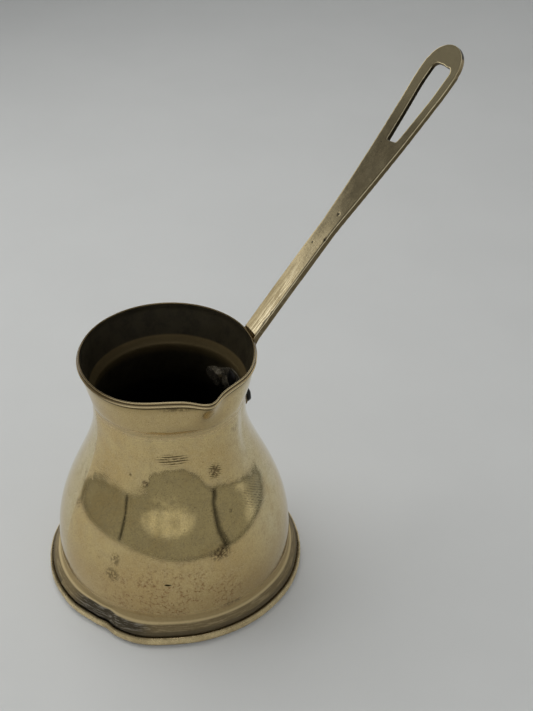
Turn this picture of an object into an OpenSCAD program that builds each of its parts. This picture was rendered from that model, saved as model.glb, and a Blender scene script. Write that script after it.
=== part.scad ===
// Turkish coffee pot (cezve) in sheet brass with a riveted cast strap handle.
// The pot stands on z = 0 with its axis on Z, the handle rises along +X and the pouring lip faces -Y.

/* [Pot] */
// Height of the rim above the table
pot_h = 106.8; // [95:0.1:120]
// Outer radius of the folded rim
rim_r = 35; // [32:0.1:38]
// Outer radius of the narrow waist below the collar
waist_r = 30.1; // [27:0.1:31.5]
// Outer radius of the belly at its fullest
belly_r = 48.1; // [44:0.1:49.5]
// Height of the crease where the waist turns out into the collar
crease_z = 89.5; // [84:0.1:93]
// Thickness of the brass sheet
wall = 0.7; // [0.6:0.05:1.2]

/* [Rim and lip] */
// Height of the folded hem around the rim
hem_h = 2.2; // [1.6:0.1:3]
// How far the hem stands out from the collar
hem_out = 0.6; // [0.5:0.05:1.4]
// How far the pouring lip runs out beyond the rim
lip_out = 3.6; // [2:0.1:6]
// Half of the angle that the lip takes up on the rim
lip_half_angle = 17; // [12:1:24]
// How far down the collar the lip is drawn
lip_drop = 11; // [8:0.5:14]

/* [Foot] */
// Outer radius of the base tray's bead
foot_r = 53.3; // [51.5:0.1:56]
// Height of the base tray's bead
bead_h = 5; // [4:0.1:5.4]
// Height where the belly turns out into the foot
foot_crease_z = 10.6; // [10:0.1:12]
// How far the foot's ledge slopes down from its inner edge to its rim
ledge_fall = 1.5; // [1:0.1:2]

/* [Handle] */
// Length of the strap from rim height to its tip
strap_l = 133; // [110:0.5:150]
// Thickness of the strap at rim height
strap_t = 2.8; // [2.2:0.1:3.2]
// Thickness of the strap at its tip
tip_t = 1.8; // [1.4:0.1:2.2]
// Slope of the strap above the horizontal, in degrees
strap_slope = 49.9; // [45:0.1:55]
// Width of the narrow lower half of the strap
strap_w = 8.9; // [8:0.1:10]
// Width of the strap around the slot
tip_w = 19; // [16:0.1:20]
// Gap between the strap's upper face and the rim radius, at rim height
strap_gap = 1.5; // [1.4:0.1:2]
// Length of the hanging slot
slot_l = 35.5; // [30:0.5:40]
// Width of the slot at its wide end, near the tip
slot_w_tip = 10.4; // [7:0.1:11]
// Width of the slot at its narrow end
slot_w_low = 5.4; // [4:0.1:6.5]
// How far the slot lies off the strap's middle, towards the lip's side
slot_shift = 0.8; // [0:0.1:1]
// Width of solid strap between the slot and the tip
slot_margin = 8.2; // [6:0.1:9]

/* [Palm and rivets] */
// Width of the palm that lies on the neck
palm_w = 9; // [8.6:0.1:13]
// Thickness of the palm
palm_t = 1.6; // [1.4:0.1:2.4]
// Height of the lower rivet
rivet_low_z = 75; // [73:0.1:76]
// Height of the upper rivet
rivet_high_z = 84; // [83:0.1:85]
// Radius of a rivet's shank
shank_r = 2; // [1.6:0.1:2.3]
// Radius of a rivet's outer head
head_r = 4; // [3.2:0.1:4.2]
// Height of a rivet's outer head
head_h = 2.6; // [2:0.1:3]
// Angle that the inner backing plate takes up, to each side of the handle
plate_half_angle = 35; // [25:1:38]
// Thickness of the inner backing plate
plate_t = 1.2; // [0.8:0.1:1.5]

/* [Hidden] */
$fn = 96;
brass = [0.72, 0.62, 0.38];
worn_brass = [0.66, 0.57, 0.36];
dark_iron = [0.16, 0.15, 0.14];
tin_grey = [0.42, 0.41, 0.38];

// Clearance between pieces that lie on one another, which keeps the solids apart
fit_gap = 0.1;
// Radius by which cuts overshoot what they cut
over = 1;

// Belly: from its fullest height up to the waist, in equal steps
belly_z = 17.9;
waist_z = 80.6;
belly_steps = 22;
// Collar: from the crease up to the bottom of the hem
collar_top_r = rim_r - hem_out;
collar_top_z = pot_h - hem_h;
collar_steps = 8;

// Lip: the radius of its nose, and the slope of its trough outwards from the vertical
nose_r = 3;
lip_root_z = pot_h - lip_drop;
lip_tilt = atan2(rim_r + lip_out - collar_r(lip_root_z), lip_drop);
lip_wing_angle = atan2(rim_r + lip_out - rim_r * cos(lip_half_angle), rim_r * sin(lip_half_angle));

// Foot flange: the inner edge of its ledge, its rim over the bead, and the part inside the tray
ledge_r = foot_r - 2.3;
ledge_z = bead_h + 3.3;
flange_rim_r = foot_r - 0.3;
flange_under_z = bead_h + 0.3;
flange_r = foot_r - 1.15;
floor_t = 1;

// A cosine swell with a little straight taper: 1 at the belly, 0 at the waist
function belly_curve(t) = 0.9 * (1 + cos(180 * pow(t, 1.15))) / 2 + 0.1 * (1 - t);
function belly_point(t) = [waist_r + (belly_r - waist_r) * belly_curve(t),
                           belly_z + (waist_z - belly_z) * t];
// The collar turns out quickly at the crease and straightens towards the rim
function collar_r(z) = waist_r + (collar_top_r - waist_r)
                     * pow(max(0, z - crease_z) / (collar_top_z - crease_z), 0.8);
function belly_r_at(z) = waist_r + (belly_r - waist_r)
                       * belly_curve(min(1, max(0, (z - belly_z) / (waist_z - belly_z))));
// Outer radius of the sheet at a height between the belly and the hem
function wall_r(z) = z > crease_z ? collar_r(z) : belly_r_at(z);

// Foot flare, from the crease out to the ledge: a quarter of an ellipse
function flare_point(a, grow) = [ledge_r - (ledge_r - belly_r + 0.2 + grow) * cos(a),
                                 foot_crease_z - (foot_crease_z - ledge_z + grow) * sin(a)];

// Outer outline of the wall from the ledge's inner edge to the bottom of the hem, offset inwards by inset
function wall_outline(inset) = concat(
    [for (a = [90 : -15 : 0]) flare_point(a, inset)],
    [[belly_r - inset, (foot_crease_z + belly_z) / 2]],
    [for (i = [0 : belly_steps]) belly_point(i / belly_steps) - [inset, 0]],
    [for (i = [0 : collar_steps])
        let (z = crease_z + (collar_top_z - crease_z) * i / collar_steps) [collar_r(z) - inset, z]]);

// Everything inside the sheet's outer surface, as one solid of revolution
module outer_form() {
    lobe_r = hem_out / 2;
    rotate_extrude() {
        polygon(concat(
            [[0, floor_t + fit_gap], [flange_r, floor_t + fit_gap], [flange_r, flange_under_z],
             [flange_rim_r, flange_under_z], [flange_rim_r, ledge_z - ledge_fall]],
            wall_outline(0),
            [[collar_top_r, pot_h - wall / 2], [0, pot_h - wall / 2]]));
        // Folded hem, and the rounded top edge of the sheet beside it
        translate([rim_r - lobe_r, collar_top_z + lobe_r]) circle(lobe_r);
        translate([rim_r - lobe_r, pot_h - wall / 2 - lobe_r]) circle(lobe_r);
        translate([collar_top_r - lobe_r, collar_top_z + lobe_r])
            square([hem_out, hem_h - wall / 2 - hem_out]);
        translate([rim_r - lobe_r, collar_top_z + lobe_r])
            square([lobe_r, hem_h - wall / 2 - hem_out]);
        translate([collar_top_r - wall / 2, pot_h - wall / 2]) circle(wall / 2);
    }
}

// The hollow inside the sheet
module inner_form() {
    rotate_extrude()
        polygon(concat(
            [[0, floor_t - over], [flange_r - wall, floor_t - over],
             [flange_r - wall, ledge_z - ledge_fall]],
            wall_outline(wall),
            [[collar_top_r - wall, pot_h + over], [0, pot_h + over]]));
}

// Outline of the pouring lip seen from above: a round nose at the origin and two wings that run
// back from it along +Y at a given angle to the rim
module lip_outline(wing_angle, inset) {
    wing_l = 14;
    r = nose_r - inset;
    root = [r * sin(wing_angle), nose_r - r * cos(wing_angle)];
    end = root + wing_l * [cos(wing_angle), sin(wing_angle)];
    translate([0, nose_r]) circle(r);
    polygon([[-root[0], root[1]], root, end, [end[0], end[1] + nose_r],
             [-end[0], end[1] + nose_r], [-end[0], end[1]]]);
}

// The lip's trough, which slopes out from its root on the collar to its nose at the rim
module lip_trough(inset, rise) {
    translate([0, -(rim_r + lip_out - hem_out / 2), pot_h]) rotate([lip_tilt, 0, 0])
        translate([0, 0, -2 * lip_drop]) linear_extrude(2 * lip_drop + rise)
            lip_outline(atan(tan(lip_wing_angle) * cos(lip_tilt)), inset);
}

// The hem carried on around the lip's edge
module lip_hem() {
    translate([0, -(rim_r + lip_out), collar_top_z])
        linear_extrude(hem_h - wall / 2) lip_outline(lip_wing_angle, 0);
}

module below_rim() {
    translate([-rim_r, -2 * rim_r, crease_z])
        cube([2 * rim_r, 2 * rim_r, collar_top_z + hem_h / 2 - crease_z]);
}

// Radial hole or rod along +X, from one radius to another
module radial_rod(r, z, from, to) {
    translate([from, 0, z]) rotate([0, 90, 0]) cylinder(r = r, h = to - from);
}

module rivet_holes() {
    for (z = [rivet_low_z, rivet_high_z])
        radial_rod(shank_r + fit_gap / 2, z, waist_r - 8, waist_r + 12);
}

module vessel_body() {
    color(brass) difference() {
        union() {
            outer_form();
            lip_hem();
            intersection() {
                lip_trough(0, over);
                below_rim();
            }
        }
        inner_form();
        lip_trough(wall, 2 * over);
        rivet_holes();
    }
}

// Flat tray whose turned-up edge is beaten over the foot flange
module base_plate() {
    edge_w = foot_r - flange_r - fit_gap;
    color(worn_brass) rotate_extrude() {
        square([foot_r - bead_h / 2, floor_t]);
        difference() {
            translate([foot_r - bead_h / 2, bead_h / 2]) circle(bead_h / 2);
            translate([foot_r - 2 * bead_h, floor_t])
                square([2 * bead_h - edge_w, bead_h]);
        }
    }
}

// Solder run around the inside corner of the seam
module seam_solder() {
    run = 2;
    corner = [flange_r - wall - fit_gap / 2, floor_t + fit_gap / 2];
    color(tin_grey) rotate_extrude() difference() {
        translate(corner - [run, 0]) square(run);
        translate(corner + [-run, run]) circle(run * 0.93);
    }
}

// Strap outline seen square to its face: x runs from rim height to the tip
module strap_outline(bend_l) {
    tip_r = tip_w / 2;
    narrow_l = strap_l * 0.38;
    wide_l = strap_l * 0.86;
    difference() {
        union() {
            translate([-bend_l, -strap_w / 2]) square([narrow_l + bend_l, strap_w]);
            polygon([[narrow_l - 0.1, -strap_w / 2], [wide_l, -tip_r], [strap_l - tip_r, -tip_r],
                     [strap_l - tip_r, tip_r], [wide_l, tip_r], [narrow_l - 0.1, strap_w / 2]]);
            translate([strap_l - tip_r, 0]) circle(tip_r);
        }
        slot_outline();
    }
}

// Slot with rounded corners, wide near the tip and narrowing towards the pot
module slot_outline() {
    tip_corner_r = 2.4;
    low_corner_r = 1.3;
    tip_half_w = slot_w_tip / 2;
    low_half_w = slot_w_low / 2;
    end = strap_l - slot_margin;
    start = end - slot_l;
    shoulder = end - slot_l * 0.3;
    translate([0, -slot_shift]) {
        for (side = [-1, 1]) {
            polygon([[start, 0], [start, side * (low_half_w - low_corner_r)],
                     [start + low_corner_r, side * low_half_w], [shoulder, side * tip_half_w],
                     [end - tip_corner_r, side * tip_half_w],
                     [end, side * (tip_half_w - tip_corner_r)], [end, 0]]);
            translate([start + low_corner_r, side * (low_half_w - low_corner_r)])
                circle(low_corner_r);
            translate([end - tip_corner_r, side * (tip_half_w - tip_corner_r)])
                circle(tip_corner_r);
        }
    }
}

// Strap with its upper face at z = 0 and an underside that tapers towards the tip
module strap() {
    bend_l = 4.2;
    intersection() {
        translate([0, 0, -strap_t - over]) linear_extrude(strap_t + over)
            strap_outline(bend_l);
        rotate([90, 0, 0]) linear_extrude(2 * tip_w, center = true)
            polygon([[-bend_l - over, over], [-bend_l - over, -strap_t], [0, -strap_t],
                     [strap_l, -tip_t], [strap_l + over, -tip_t], [strap_l + over, over]]);
    }
}

// Shell that follows the sheet between two heights, at a gap from it and of a given thickness
module wall_shell(z_low, z_high, gap, thick) {
    steps = 16;
    heights = [for (i = [0 : steps]) z_low + (z_high - z_low) * i / steps];
    rotate_extrude() polygon(concat(
        [for (z = heights) [wall_r(z) + gap, z]],
        [for (i = [steps : -1 : 0]) [wall_r(heights[i]) + gap + thick, heights[i]]]));
}

// Cast strap, bent at the rim so that its palm lies down the collar and neck
module handle() {
    palm_end_r = palm_w / 2;
    palm_low_z = rivet_low_z + 0.4;
    palm_top_z = collar_top_z - 0.4;
    color(worn_brass) difference() {
        union() {
            translate([rim_r + strap_gap, 0, pot_h])
                rotate([0, -strap_slope, 0]) strap();
            intersection() {
                wall_shell(palm_low_z - palm_end_r, palm_top_z, fit_gap, palm_t);
                translate([waist_r - 10, 0, 0]) rotate([90, 0, 90]) linear_extrude(30) union() {
                    translate([0, palm_low_z]) circle(palm_end_r);
                    polygon([[-palm_end_r, palm_low_z], [palm_end_r, palm_low_z],
                             [palm_end_r, crease_z], [strap_w / 2, palm_top_z],
                             [-strap_w / 2, palm_top_z], [-palm_end_r, crease_z]]);
                }
            }
        }
        wall_shell(palm_low_z - palm_end_r - 1, collar_top_z, -wall, wall + fit_gap);
        rivet_holes();
    }
}

// Hammered plate that spreads the rivets' pull on the inside of the wall
module backing_plate() {
    plate_h = 16;
    mid_z = (rivet_low_z + rivet_high_z) / 2;
    plate_r = waist_r - wall - fit_gap;
    half_w = plate_r * sin(plate_half_angle);
    color(tin_grey) difference() {
        intersection() {
            wall_shell(mid_z - plate_h / 2, mid_z + plate_h / 2, -wall - fit_gap - plate_t, plate_t);
            rotate([90, 0, 90]) linear_extrude(belly_r) union() {
                translate([-half_w + plate_h / 2, mid_z - plate_h / 2])
                    square([2 * half_w - plate_h, plate_h]);
                for (side = [-1, 1])
                    translate([side * (half_w - plate_h / 2), mid_z]) circle(plate_h / 2);
            }
        }
        rivet_holes();
    }
}

// Iron rivet with a domed outer head and a flatter peened end inside, turned about its own axis
module rivet(z) {
    outer = wall_r(z) + fit_gap + palm_t + 0.45;
    inner = wall_r(z) - wall - fit_gap - plate_t - 0.35;
    peen_h = 1.6;
    color(dark_iron) translate([0, 0, z]) rotate([0, 90, 0]) rotate_extrude() {
        translate([0, inner - 0.1]) square([shank_r, outer - inner + 0.2]);
        translate([0, outer]) dome_section(head_h);
        mirror([0, 1]) translate([0, -inner]) dome_section(peen_h);
    }
}

// Half of a dome's section, on the radius of a rivet's head and of a given height
module dome_section(h) {
    dome_r = (head_r * head_r + h * h) / (2 * h);
    intersection() {
        translate([0, h - dome_r]) circle(dome_r);
        square([head_r, h]);
    }
}

module rivet_upper() {
    rivet(rivet_high_z);
}

module rivet_lower() {
    rivet(rivet_low_z);
}

vessel_body();
base_plate();
seam_solder();
handle();
backing_plate();
rivet_upper();
rivet_lower();
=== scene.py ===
"""A worn brass Turkish coffee pot (cezve).

Its pieces are a raised sheet body with a folded rim and a drawn lip, a base tray beaten over the
foot, a run of solder inside the foot, a cast strap handle, the two iron rivets that hold it to the
neck, and a hammered plate inside the neck under the rivets' ends.
Sizes are in millimetres and angles in degrees. Only the finished meshes are in metres.
An angle round the pot is measured from +X, where the handle is, and -90 is the lip's side.
"""
import math

import bmesh
import bpy
import numpy as np
from mathutils import Euler, Matrix, Vector


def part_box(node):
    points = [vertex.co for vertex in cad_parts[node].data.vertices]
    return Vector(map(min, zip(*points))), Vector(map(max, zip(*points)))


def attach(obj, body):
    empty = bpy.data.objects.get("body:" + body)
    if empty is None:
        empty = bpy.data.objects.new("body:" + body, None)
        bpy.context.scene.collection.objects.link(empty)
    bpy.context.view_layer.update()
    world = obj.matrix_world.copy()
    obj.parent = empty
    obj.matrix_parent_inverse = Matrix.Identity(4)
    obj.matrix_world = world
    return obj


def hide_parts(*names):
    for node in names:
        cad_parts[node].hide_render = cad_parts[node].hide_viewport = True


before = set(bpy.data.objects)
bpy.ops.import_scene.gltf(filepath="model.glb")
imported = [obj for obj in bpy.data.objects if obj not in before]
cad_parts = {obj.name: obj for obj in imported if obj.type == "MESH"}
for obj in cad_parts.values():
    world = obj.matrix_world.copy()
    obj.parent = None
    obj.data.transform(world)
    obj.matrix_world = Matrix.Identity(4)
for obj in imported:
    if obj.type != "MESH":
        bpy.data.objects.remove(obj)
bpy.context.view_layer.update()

MM = 0.001
SEED = 7
ROUND_STEPS = 540
HEAD_STEPS = 40


def box_mm(node):
    """Lowest and highest corner of a CAD node, in millimetres."""
    low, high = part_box(node)
    return np.array(low) / MM, np.array(high) / MM


# ------------------------ sizes

POT_H = box_mm("vessel_body")[1][2]
FOOT_R = box_mm("base_plate")[1][0]
STRAP_TOP_Z = box_mm("handle")[1][2]
solder_low, solder_high = box_mm("seam_solder")

# The sheet body, from the rim down
WALL = 0.7
RIM_R = 35.0
HEM_OUT = 0.6
HEM_H = 2.2
HEM_R = 0.55
EDGE_R = 0.3
COLLAR_TOP_R = RIM_R - HEM_OUT
COLLAR_TOP_Z = POT_H - HEM_H
CREASE_Z = 89.5
WAIST_R = 30.1
WAIST_Z = 80.6
BELLY_R = 48.1
BELLY_Z = 17.9
FOOT_CREASE_Z = 11.4
LEDGE_R = FOOT_R - 4.1
LEDGE_Z = 9.2
FLANGE_RIM_R = FOOT_R - 1.5
FLANGE_R = FOOT_R - 1.8
FLANGE_TOP_Z = 5.9
FLANGE_UNDER_Z = 4.9

# The base tray, and the gap between two pieces
FLOOR_T = 1.0
ROLL_R = 2.45
GAP = 0.1

# The handle: its strap runs up from the rim and its palm lies on the neck
STRAP_SLOPE = 49.9
STRAP_START = np.array([RIM_R + 1.5, POT_H])
STRAP_L = (STRAP_TOP_Z - POT_H) / math.sin(math.radians(STRAP_SLOPE))
STRAP_W = 8.9
TIP_W = 19.0
STRAP_T = 2.8
TIP_T = 1.8
PALM_T = 1.6
PALM_W = 9.0
SLOT_L = 35.5
SLOT_W_TIP = 10.4
SLOT_W_LOW = 5.4
SLOT_SHIFT = 0.7
SLOT_END = STRAP_L - 8.2

# The rivets and the plate inside the neck
RIVET_HEIGHTS = {"rivet_lower": 75.0, "rivet_upper": 84.0}
PALM_LOW_Z = RIVET_HEIGHTS["rivet_lower"] + 0.4 - PALM_W / 2
SHANK_R = 2.0
HEAD_R = 4.0
HEAD_H = 2.6
INNER_HEAD_H = 1.6
PLATE_HALF_ANGLE = 35.0
PLATE_T = 1.2
PLATE_H = 16.0


# ------------------------ small tools

def smooth(x, low, high):
    """0 at low, 1 at high, and a smooth change between them. Low may be the larger number."""
    t = np.clip((np.asarray(x, float) - low) / (high - low), 0.0, 1.0)
    return t * t * (3.0 - 2.0 * t)


def turn(angle, centre):
    """How far an angle is from a centre, between -180 and 180."""
    return (np.asarray(angle, float) - centre + 180.0) % 360.0 - 180.0


def bell(x, width):
    """A Gaussian bell, 1 at 0."""
    return np.exp(-(np.asarray(x, float) / width) ** 2)


def arc(centre, radius, start, end, steps):
    """Points on an arc in the radius-height plane."""
    angles = np.radians(np.linspace(start, end, steps + 1))
    return [(centre[0] + radius * math.cos(a), centre[1] + radius * math.sin(a)) for a in angles]


def add_object(name, data):
    obj = bpy.data.objects.new(name, data)
    bpy.context.scene.collection.objects.link(obj)
    return obj


def add_smooth(name, mesh, material_ids=None):
    """A smooth-shaded object from a mesh in metres."""
    mesh.polygons.foreach_set("use_smooth", [True] * len(mesh.polygons))
    if material_ids is not None:
        mesh.polygons.foreach_set("material_index", material_ids)
    mesh.update()
    return add_object(name, mesh)


def make_mesh(name, points, faces, material_ids=None):
    """A smooth-shaded object from points in millimetres."""
    mesh = bpy.data.meshes.new(name)
    mesh.from_pydata((np.asarray(points, float) * MM).tolist(), [], faces)
    return add_smooth(name, mesh, material_ids)


def spin(line, segments, shape):
    """Turns a line of (radius, height) points round the axis: the points and their numbers.

    shape(angle, radius, height) returns the radius and height of each point after wear and dents.
    """
    angle = np.linspace(-180.0, 180.0, segments, endpoint=False)
    a, r = np.meshgrid(angle, [point[0] for point in line])
    _, z = np.meshgrid(angle, [point[1] for point in line])
    r, z = shape(a, r, z)
    points = np.stack([r * np.cos(np.radians(a)), r * np.sin(np.radians(a)), z], -1)
    return points.reshape(-1, 3), np.arange(len(line) * segments).reshape(len(line), segments)


def lathe(name, loop, segments, shape, inside_from=None):
    """A ring of revolution from a closed loop. Rows from inside_from on have material 1."""
    points, index = spin(loop, segments, shape)
    up = np.roll(index, -1, 0)
    quads = np.stack([index, np.roll(index, -1, 1), np.roll(up, -1, 1), up], -1).reshape(-1, 4)
    ids = None
    if inside_from is not None:
        ids = np.repeat((np.arange(len(loop)) >= inside_from).astype(int), segments).tolist()
    return make_mesh(name, points, quads.tolist(), ids)


def disc(name, line, segments, shape):
    """A solid of revolution from an open line of points that starts and ends on the axis."""
    points, index = spin(line[1:-1], segments, shape)
    beside = np.roll(index, -1, 1)
    quads = np.stack([index[:-1], beside[:-1], beside[1:], index[1:]], -1)
    faces = quads.reshape(-1, 4).tolist()
    first, last = len(points), len(points) + 1
    faces += [[first, int(b), int(a)] for a, b in zip(index[0], beside[0])]
    faces += [[last, int(a), int(b)] for a, b in zip(index[-1], beside[-1])]
    poles = [(0.0, 0.0, line[0][1]), (0.0, 0.0, line[-1][1])]
    return make_mesh(name, np.concatenate([points, poles]), faces)


# ------------------------ the body's form and wear

# Where an edge is pushed out or in: angle, distance outwards and width in degrees.
# The first one of the rim is the drawn lip, which has pulled the rim flat on both sides.
RIM_KNOCKS = [(-88.0, 3.4, 8.5), (-113.0, -3.3, 24.0), (-66.0, -1.4, 14.0), (-30.0, -0.4, 18.0)]
FOOT_KNOCKS = [(-155.0, -1.2, 9.0), (-130.0, 1.2, 11.0), (-147.0, -0.9, 3.5), (-72.0, -0.4, 16.0)]

# Hammering on the wall: number of marks, depth, size, lowest and highest place
HAMMERING = [(220, 0.016, 5.0, 56.0, 102.0), (40, 0.012, 12.0, 16.0, 50.0),
             (3200, 0.006, 1.2, 54.0, 82.0)]

# Patches of close tool strokes: angle, height, width, height of the patch and depth
TOOLED = [(-112.0, 78.0, 4.6, 1.3, 0.015), (-71.0, 67.5, 2.2, 3.0, 0.012)]

# Dents: angle, height, width, height of the dent and its depth
DENTS = [
    (-117.6, 28.7, 0.8, 0.35, 0.25), (-116.2, 28.2, 0.8, 0.3, 0.25),
    (-131.0, 68.0, 0.9, 0.9, 0.06), (-131.0, 68.0, 0.4, 0.4, -0.09),
    (-142.0, 71.0, 0.6, 0.7, 0.12), (-78.0, 52.5, 0.8, 0.8, 0.05),
    (-176.0, 52.0, 1.2, 3.0, 0.06), (-60.0, 84.0, 5.0, 3.0, 0.10),
]


def belly_curve(t):
    """A cosine swell with a little straight taper: 1 at the belly and 0 at the waist."""
    return 0.9 * (1 + np.cos(np.pi * t ** 1.15)) / 2 + 0.1 * (1 - t)


def wall_r(z):
    """Outer radius of the sheet at a height between the foot's crease and the hem."""
    z = np.asarray(z, float)
    up = np.clip((z - BELLY_Z) / (WAIST_Z - BELLY_Z), 0.0, 1.0)
    belly = WAIST_R + (BELLY_R - WAIST_R) * belly_curve(up)
    rise = np.clip((z - CREASE_Z) / (COLLAR_TOP_Z - CREASE_Z), 0.0, 1.0)
    collar = WAIST_R + (COLLAR_TOP_R - WAIST_R) * rise ** 0.8
    return np.where(z > CREASE_Z, collar, belly)


def degree_mm(height):
    """How many millimetres of the wall one degree is, at a height."""
    return math.radians(1.0) * float(wall_r(height))


def knocks(angle, places):
    """How far an edge is pushed out of its circle at an angle."""
    return sum(out * bell(turn(angle, at), width) for at, out, width in places)


def hammer_marks(angle, z, seed, count, depth, size, low, high):
    """Shallow round marks at random places on the wall between two heights."""
    draw = np.random.default_rng(seed)
    out = np.zeros_like(z)
    for _ in range(count):
        mark_angle = draw.uniform(-180.0, 180.0)
        mark_z = draw.uniform(low, high)
        mark_size = size * draw.uniform(0.6, 1.5)
        mark_depth = depth * draw.normal()
        reach = 3 * mark_size
        cols = np.abs(turn(angle[0], mark_angle)) * degree_mm(mark_z) < reach
        rows = np.abs(z[:, 0] - mark_z) < reach
        spot = np.ix_(rows, cols)
        across = turn(angle[spot], mark_angle) * degree_mm(mark_z)
        out[spot] += mark_depth * bell(np.hypot(across, z[spot] - mark_z), mark_size)
    return out


def dent(angle, z, at, height, width, tall, depth):
    """One dent or, with a depth below 0, one bump."""
    across = turn(angle, at) * degree_mm(height)
    return -depth * bell(across, width) * bell(z - height, tall)


def tool_marks(angle, z, at, height, width, tall, depth):
    """A patch of close tool strokes, each of which turns the surface up and down a little."""
    x, y = turn(angle, at) * degree_mm(height), z - height
    strokes = np.sin(y * 4.5 + x * 0.35) + 0.5 * np.sin(x * 2.1 + y * 1.3)
    return depth * strokes * bell(x, width) * bell(y, tall)


def shoulder_tilt(angle, z):
    """Uneven raising of the shoulder, which turns its face up or down by a few degrees."""
    up = smooth(angle, -129.0, -123.0) * smooth(angle, -100.0, -106.0)
    left = smooth(angle, -124.0, -130.0) * smooth(angle, -200.0, -176.0)
    right = smooth(angle, -103.0, -87.0) * smooth(angle, -45.0, -60.0)
    out = -0.25 * up * smooth(z, 65.0, 76.0)
    out += 0.70 * left * smooth(z, 56.0, 71.0)
    out += 1.35 * right * smooth(z, 56.0, 74.0)
    out -= 0.20 * bell(turn(angle, -115.0), 20.0) * bell(z - 56.0, 5.0)
    return out * smooth(z, 100.0, 84.0)


def foot_wave(angle):
    """How far the foot's edge is out of its circle: its knocks and a slight wobble all round."""
    wobble = 0.08 * np.sin(np.radians(5 * angle + 20)) + 0.05 * np.sin(np.radians(13 * angle))
    return knocks(angle, FOOT_KNOCKS) + wobble


def body_shape(angle, r, z):
    """The body's wear and dents, which move the whole thickness of the sheet together."""
    out = knocks(angle, RIM_KNOCKS) * smooth(z, CREASE_Z + 3.0, POT_H) ** 1.2
    out += 0.35 * bell(turn(angle, -170.0), 45.0) * bell(z - 52.0, 22.0)
    out += shoulder_tilt(angle, z)
    for number, hammering in enumerate(HAMMERING):
        out += hammer_marks(angle, z, SEED + number, *hammering)
    for patch in TOOLED:
        out += tool_marks(angle, z, *patch)
    for mark in DENTS:
        out += dent(angle, z, *mark)
    out += foot_wave(angle) * smooth(z, FOOT_CREASE_Z - 0.2, LEDGE_Z - 1.0)
    return r + out, z


def flange_line():
    """The flange's outside, out to its rim, and the slope from there to the ledge."""
    under_r, rim_r, top_r = 0.15, 0.2, 0.5
    line = [(FLANGE_R, FLOOR_T + GAP), (FLANGE_R, 3.0), (FLANGE_R, FLANGE_UNDER_Z - 0.3)]
    line += arc((FLANGE_R + 0.2, FLANGE_UNDER_Z - under_r), under_r, 180.0, 90.0, 3)
    line += arc((FLANGE_RIM_R - rim_r, FLANGE_UNDER_Z + 0.3), rim_r, -80.0, 0.0, 4)
    line += arc((FLANGE_RIM_R - top_r, FLANGE_TOP_Z), top_r, 0.0, 60.0, 5)
    slope = np.linspace(line[-1], (LEDGE_R + 0.25, LEDGE_Z - 0.12), 9)
    return line + slope[1:-1].tolist()


def flare(start, end, count, side=0.0, down=0.0, wider=0.0):
    """The hollow curve between the ledge and the belly, a quarter of an ellipse."""
    width = LEDGE_R - BELLY_R + 0.15 + wider
    height = FOOT_CREASE_Z - LEDGE_Z
    return [(LEDGE_R - side - width * math.cos(a), FOOT_CREASE_Z - down - height * math.sin(a))
            for a in np.radians(np.linspace(start, end, count))]


def wall_line():
    """The outside from the foot's crease to the hem. The crease under the collar is softened."""
    soft = 2.6
    belly = np.arange(FOOT_CREASE_Z + 0.5, CREASE_Z - soft, 0.55)
    crease = np.arange(CREASE_Z - soft, CREASE_Z + soft, 0.3)
    collar = np.arange(CREASE_Z + soft, COLLAR_TOP_Z - 0.05, 0.5)
    settled = wall_r(belly) - 0.05 * (1 - smooth(belly, FOOT_CREASE_Z, BELLY_Z))
    softened = np.mean([wall_r(crease + shift) for shift in np.linspace(-2.0, 2.0, 9)], 0)
    radii = np.concatenate([settled, softened, wall_r(collar)])
    return list(zip(radii, np.concatenate([belly, crease, collar])))


def body_loop():
    """The sheet's section as a closed loop, up the outside and down the inside.

    Also gives the row where the inside begins.
    """
    loop = flange_line() + flare(90.0, 0.0, 13) + wall_line()
    loop += arc((RIM_R - HEM_R, POT_H - 1.55), HEM_R, -115.0, 65.0, 12)
    loop += arc((COLLAR_TOP_R - WALL / 2, POT_H - EDGE_R), EDGE_R, -20.0, 180.0, 10)
    inside_from = len(loop) - 1
    down = np.concatenate([np.arange(POT_H - 0.9, CREASE_Z, -0.8),
                           np.arange(CREASE_Z, FOOT_CREASE_Z, -1.3)])
    loop += list(zip(wall_r(np.minimum(down, COLLAR_TOP_Z)) - WALL, down))
    loop += flare(0.0, 90.0, 6, side=WALL * 0.4, down=WALL * 0.6, wider=WALL)
    loop += [(FLANGE_R - WALL, z) for z in (6.0, 3.0, FLOOR_T + GAP)]
    return loop, inside_from


def make_body():
    loop, inside_from = body_loop()
    return lathe("pot_body", loop, ROUND_STEPS, body_shape, inside_from)


# ------------------------ base tray and solder

def tray_shape(angle, r, z):
    """The tray's edge follows the foot's knocks and has small beats of its own."""
    beats = 0.05 * np.sin(np.radians(angle * 9 + 40))
    return r + foot_wave(angle) * smooth(r, 40.0, 50.0) + beats * smooth(r, 45.0, 52.0), z


def make_tray():
    """Turned tray: a flat floor and a beaten roll that holds the body's flange."""
    middle = (FOOT_R - ROLL_R, ROLL_R + 0.05)
    bead_r = 0.85
    line = [(0.0, 0.6), (12.0, 0.6), (24.0, 0.55), (36.0, 0.45), (44.0, 0.2), (48.0, 0.03)]
    line += arc(middle, ROLL_R, -80.0, 15.0, 20)
    line += arc((FOOT_R - 0.9, middle[1] + 1.3), bead_r, 12.0, 168.0, 10)
    line += [(FLANGE_R + 0.08, 3.6), (FLANGE_R + 0.08, 2.4), (FLANGE_R + 0.05, FLOOR_T)]
    line += [(51.0, FLOOR_T), (48.0, FLOOR_T), (36.0, 1.1), (24.0, 1.3), (12.0, 1.45), (0.0, 1.5)]
    return disc("base_tray", line, ROUND_STEPS, tray_shape)


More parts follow.
